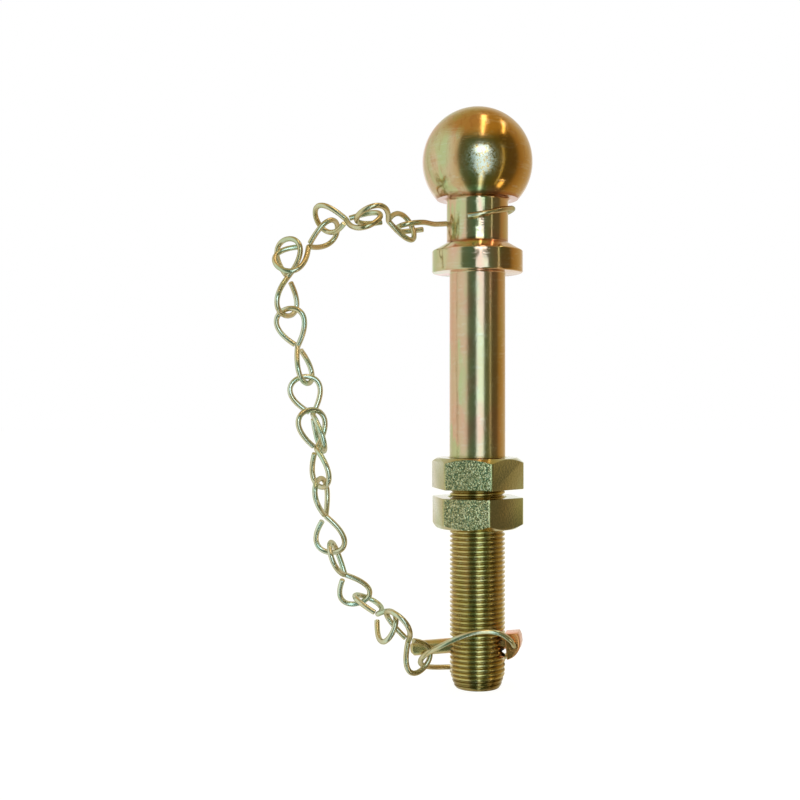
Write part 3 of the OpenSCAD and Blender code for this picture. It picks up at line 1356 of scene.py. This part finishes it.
@dataclass
class WireWork:
    """Anchor hook, chain links and ring, bent from one kind of wire."""

    stock: WireStock
    loop_length: float = 18.0
    loop_flank: float = 9.6
    loop_open: int = 28
    loop_step: int = 16
    route_spans: int = 9
    link_spans: int = 4
    links_per_body: int = 4

    def loop(self, degrees: float) -> Point2:
        """Finds a point of a link's loop.

        Args:
            degrees: How far round the loop it is.

        Returns:
            How far across and along the link it is.
        """
        half = math.radians(degrees / 2)
        across = 2 * self.loop_flank * math.sin(half) ** 2 * math.cos(half)
        return across, self.loop_length * math.sin(half) ** 2

    def link_path(self) -> list[Vector]:
        """Finds a link's centreline.

        Returns:
            Its points about the waist, one loop up and one down.
        """
        full = 360 - self.loop_open
        path = []
        for degrees in range(full, 0, -self.loop_step):
            across, along = self.loop(degrees)
            path.append(Vector((across, 0, along)))
        path.append(Vector((0, 0, 0)))
        for degrees in range(self.loop_step, full + 1, self.loop_step):
            across, along = self.loop(degrees)
            path.append(Vector((0, -across, -along)))
        return smooth_route(softened(softened(path)), self.link_spans)

    def link(self, number: int, material: Material) -> Piece:
        """Builds one link of the chain in its place.

        Args:
            number: Its number, counted from the neck.
            material: Its finish.

        Returns:
            The piece.
        """
        upper_end, lower_end, turn = LINK_ENDS[number - 1]
        top, low = Vector(upper_end), Vector(lower_end)
        along = (top - low).normalized()
        across = Vector((0, 1, 0)).cross(along).normalized()
        upper_side = Matrix.Rotation(math.radians(turn), 3, along) @ across
        lower_side = along.cross(upper_side)
        path = [(top + low) / 2 + p.x * upper_side + p.y * lower_side + p.z * along
                for p in self.link_path()]
        bodies = (Body.CHAIN_UPPER, Body.CHAIN_MIDDLE, Body.CHAIN_LOWER)
        body = bodies[(number - 1) // self.links_per_body]
        piece = self.stock.bend(path, f"wire_link_{number:02d}")
        return dress(piece, material, body, f"chain_link_{number:02d}")

    def routed(self, route: Sequence[Triple], name: str, node: str, body: Body,
               material: Material) -> Piece:
        """Builds the hook or the ring along its route.

        Args:
            route: The points of the route.
            name: Name of the piece.
            node: The node that it replaces.
            body: The body that it rides on.
            material: Its finish.

        Returns:
            The piece.
        """
        path = smooth_route([Vector(point) for point in route], self.route_spans)
        return dress(self.stock.bend(path, name), material, body, node)


def dress(piece: Piece, material: Material, body: Body,
          node: str) -> Piece:
    """Gives a piece its finish and its place in the frame.

    Args:
        piece: The piece.
        material: Its finish.
        body: The body that it rides on.
        node: The node that it replaces.

    Returns:
        The piece.
    """
    piece.data.materials.clear()
    piece.data.materials.append(material)
    smooth(piece)
    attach(piece, body.value)
    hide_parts(node)
    LOG.info("%s stands for %s on %s, %d faces", piece.name, node, body.value,
             len(piece.data.polygons))
    return piece


# Studio


@dataclass(frozen=True)
class Lamp:
    """A rectangular lamp that faces its target.

    It stands in the given direction from the target. Its lengths are in metres, and a
    radiance of 1 is white.
    """

    name: str
    direction: Triple
    size: Range
    radiance: float
    colour: Colour
    target: Triple
    distance: float = 1.0

    def place(self) -> None:
        """Makes the lamp, which the camera doesn't see."""
        data = bpy.data.lights.new(self.name, "AREA")
        data.shape = "RECTANGLE"
        data.size, data.size_y = self.size
        data.energy = self.radiance * math.pi * self.size[0] * self.size[1]
        data.color = self.colour
        obj = linked(self.name, data)
        away = Vector(self.direction).normalized()
        obj.location = Vector(self.target) + away * self.distance
        obj.rotation_euler = away.to_track_quat("Z", "Y").to_euler()
        obj.visible_camera = False


COLD_LIGHT = (0.68, 0.88, 1.0)
SOFT_LIGHT = (0.9, 0.95, 0.72)
WARM_LIGHT = (1.0, 0.86, 0.6)

# A front strip in five lengths, a side strip and three warm lamps
LAMPS = (
    Lamp("strip", (0.14, -1, 0), (0.54, 0.57), 1.5, COLD_LIGHT, (0, 0, -0.195)),
    Lamp("low_strip", (0.1, -1, 0), (0.17, 2.1), 2.6, COLD_LIGHT, (0, 0, -1.53)),
    Lamp("collar_strip", (0.12, -1, 0), (0.36, 0.04), 1.5, COLD_LIGHT, (0, 0, 0.11)),
    Lamp("neck_strip", (0.09, -1, 0), (0.15, 0.09), 1.5, COLD_LIGHT, (0, 0, 0.175)),
    Lamp("disc", (0.1, -1, 0), (0.50, 0.26), 3.6, COLD_LIGHT, (0, 0, 0.35)),
    Lamp("side_strip", (0.78, -0.63, 0), (0.05, 1.6), 1.1, SOFT_LIGHT, (0, 0, -0.3)),
    Lamp("ceiling", (0, -0.02, 1), (0.11, 1.1), 3.4, WARM_LIGHT, (0.15, -0.3, 0.05)),
    Lamp("ceiling_right", (0.02, -0.045, 1), (0.1, 0.75), 3.2, WARM_LIGHT, (0.72, 0.03, 0.05)),
    Lamp("low_right", (0.67, -0.31, -0.68), (0.15, 0.25), 2.4, WARM_LIGHT, (0, 0, 0.05)),
)

# Colours of the surround by azimuth in degrees, from the viewer's side to the right
SURROUND = (
    (-180, (0.68, 0.68, 0.55)), (-125, (0.68, 0.68, 0.56)), (-104, (0.74, 0.78, 0.66)),
    (-84, (0.68, 0.82, 0.68)), (-64, (0.72, 0.82, 0.76)), (-49, (0.68, 0.76, 0.66)),
    (-41, (0.13, 0.17, 0.11)), (-15, (0.08, 0.14, 0.09)), (8, (0.10, 0.16, 0.11)),
    (30, (0.11, 0.16, 0.09)), (42, (0.13, 0.15, 0.08)), (62, (0.12, 0.11, 0.065)),
    (84, (0.15, 0.13, 0.075)), (97, (0.42, 0.31, 0.15)), (125, (0.60, 0.54, 0.38)),
    (150, (0.70, 0.68, 0.58)), (180, (0.70, 0.66, 0.52)),
)


@dataclass
class Studio:
    """Floor, surround, lamps and camera.

    The surround's slopes go by a direction's own coordinates, from 0 to 1.
    """

    floor_z: float = -188.0
    floor_side: float = 9000.0
    eye: Triple = (-35.2, -552.0, -57.6)
    focal_px: float = 1213.2
    sensor: float = 36.0
    clip: Range = (0.01, 50.0)
    ceiling: Colour = (0.50, 0.37, 0.15)
    ceiling_from: Slope = (0.6, 0.9)
    backdrop_from: Slope = (0.85, 0.97)
    white: Colour = (1.0, 1.0, 1.0)
    paper: Colour = (0.8, 0.8, 0.78)
    pale: Colour = (0.25, 0.25, 0.25)
    glow: Colour = (0.93, 0.93, 0.93)

    def camera(self) -> None:
        """Places the level camera at the photograph's angle."""
        data = bpy.data.cameras.new("camera")
        data.sensor_width = self.sensor
        data.lens = self.focal_px / IMAGE_SIDE * self.sensor
        data.clip_start, data.clip_end = self.clip
        obj = linked("camera", data)
        obj.location = Vector(self.eye) * MM
        obj.rotation_euler = (math.radians(90), 0, 0)
        bpy.context.scene.camera = obj

    def surround(self) -> None:
        """Lights the object by direction, and shows it and the camera a white backdrop."""
        world = bpy.data.worlds.new("surround")
        bpy.context.scene.world = world
        world.use_nodes = True
        net = Wiring(world.node_tree)
        x, y, z = net.parts(net.node("ShaderNodeTexCoord").outputs["Generated"])
        ramp = net.node("ShaderNodeValToRGB")
        turn = net.math("DIVIDE", net.azimuth(x, y), math.tau)
        net.feed(ramp.inputs[0], net.plus(turn, MIDDLE))
        elements = ramp.color_ramp.elements
        while len(elements) < len(SURROUND):
            elements.new(MIDDLE)
        for element, (degrees, colour) in zip(elements, SURROUND):
            element.position = degrees / 360 + MIDDLE
            element.color = (*colour, 1)
        sky = net.blend(net.step(z, *self.ceiling_from), ramp.outputs[0], self.ceiling)
        paths = net.node("ShaderNodeLightPath").outputs
        mirrored = net.larger(paths["Is Glossy Ray"], paths["Is Transmission Ray"])
        backdrop = net.times(mirrored, net.step(y, *self.backdrop_from))
        seen = net.blend(net.larger(paths["Is Camera Ray"], backdrop), sky, self.white)
        background = net.fill(net.node("ShaderNodeBackground"), Color=seen)
        net.fill(net.node("ShaderNodeOutputWorld"), Surface=background.outputs[0])

    def floor(self) -> None:
        """Lays a plain pale floor at the height of the tip."""
        bm = bmesh.new()
        bmesh.ops.create_grid(bm, x_segments=1, y_segments=1, size=self.floor_side / 2)
        bmesh.ops.translate(bm, vec=(0, 0, self.floor_z), verts=bm.verts[:])
        obj = solid(bm, "floor")
        material = bpy.data.materials.new("pale_floor")
        material.use_nodes = True
        net = Wiring(material.node_tree)
        paper = net.fill(net.node("ShaderNodeBsdfDiffuse"), Color=self.paper)
        pale = net.fill(net.node("ShaderNodeBsdfDiffuse"), Color=self.pale)
        glow = net.fill(net.node("ShaderNodeEmission"), Color=self.glow)
        shown = net.result(net.node("ShaderNodeAddShader"), pale.outputs[0], glow.outputs[0])
        seen = net.node("ShaderNodeLightPath").outputs["Is Camera Ray"]
        mixed = net.result(net.node("ShaderNodeMixShader"), seen, paper.outputs[0], shown)
        net.fill(net.node("ShaderNodeOutputMaterial"), Surface=mixed)
        obj.data.materials.append(material)
        obj.visible_glossy = False

    def build(self) -> None:
        """Builds the studio."""
        self.camera()
        for lamp in LAMPS:
            lamp.place()
        self.surround()
        self.floor()
        bpy.context.scene.view_settings.view_transform = "Standard"


def main() -> None:
    """Builds the studio and every piece, and logs the faces of each piece."""
    logging.basicConfig(level=logging.INFO, format="%(name)s: %(message)s")
    Studio().build()
    effects = Effects()
    turned, forged, satin, drawn = (
        finish.build(effects)
        for finish in (TurnedFinish(), ForgedFinish(), SatinFinish(), WireFinish())
    )
    BallPin().build(turned)
    nut = JamNut()
    nut.build(bottom=-97.7, turn=13.5, upside=True, node="upper_nut", body=Body.UPPER_NUT,
              material=forged)
    nut.build(bottom=-115.5, turn=11.0, upside=False, node="lower_nut",
              body=Body.LOWER_NUT, material=forged)
    LinchPin().build(satin)
    wires = WireWork(WireStock())
    wires.routed(HOOK_ROUTE, "anchor_hook", "neck_hook", Body.ROOT, drawn)
    wires.routed(RING_ROUTE, "ring_wire", "linch_ring", Body.RING, drawn)
    for number in range(1, len(LINK_ENDS) + 1):
        wires.link(number, drawn)


if __name__ == "__main__":
    main()
